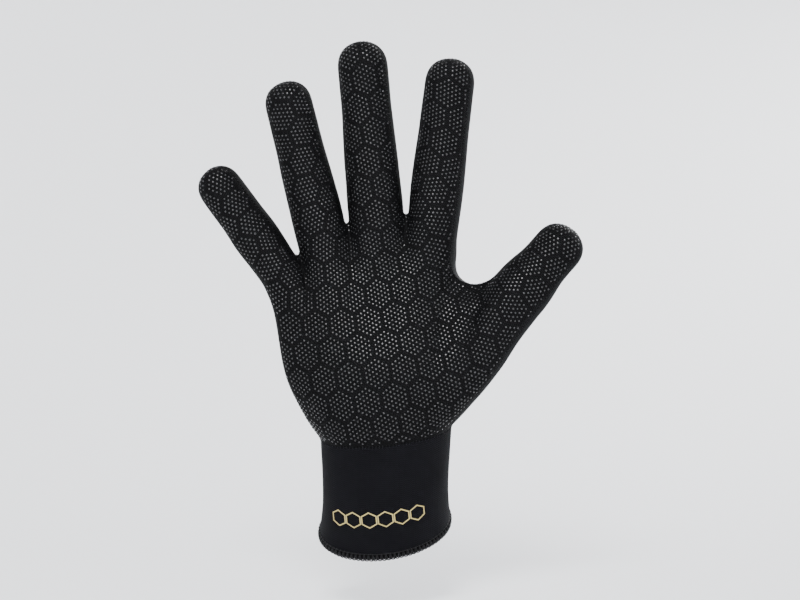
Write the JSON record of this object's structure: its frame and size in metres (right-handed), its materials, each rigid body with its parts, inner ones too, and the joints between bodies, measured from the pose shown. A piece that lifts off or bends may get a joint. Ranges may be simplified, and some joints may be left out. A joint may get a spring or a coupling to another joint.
{
  "type": "diving glove",
  "caption": "Neoprene diving glove for a right hand, hollow, with a printed palm, side strips between the fingers, and a cuff with an overlocked hem.",
  "frame": {"origin": "middle of the wrist opening, on the hem of the cuff", "axes": "+Z along the hand from the hem to the fingertips, +X towards the thumb, -Y the way the palm faces"},
  "size_m": [0.1902, 0.0737, 0.2599],
  "materials": {
    "printed_neoprene": "knitted neoprene with raised glossy grip dots",
    "plain_neoprene": "knitted neoprene, matt",
    "strip": "knitted neoprene, matt",
    "cuff_cloth": "knitted neoprene, matt, bluish black",
    "edging_thread": "overlocked polyester thread"
  },
  "bodies": {
    "root": {"palm_panel": "printed_neoprene", "back_panel": "plain_neoprene", "side_strip_little_ring": "strip", "side_strip_ring_middle": "strip", "side_strip_middle_index": "strip", "cuff": "cuff_cloth", "cuff_edging": "edging_thread"}
  },
  "joints": []
}
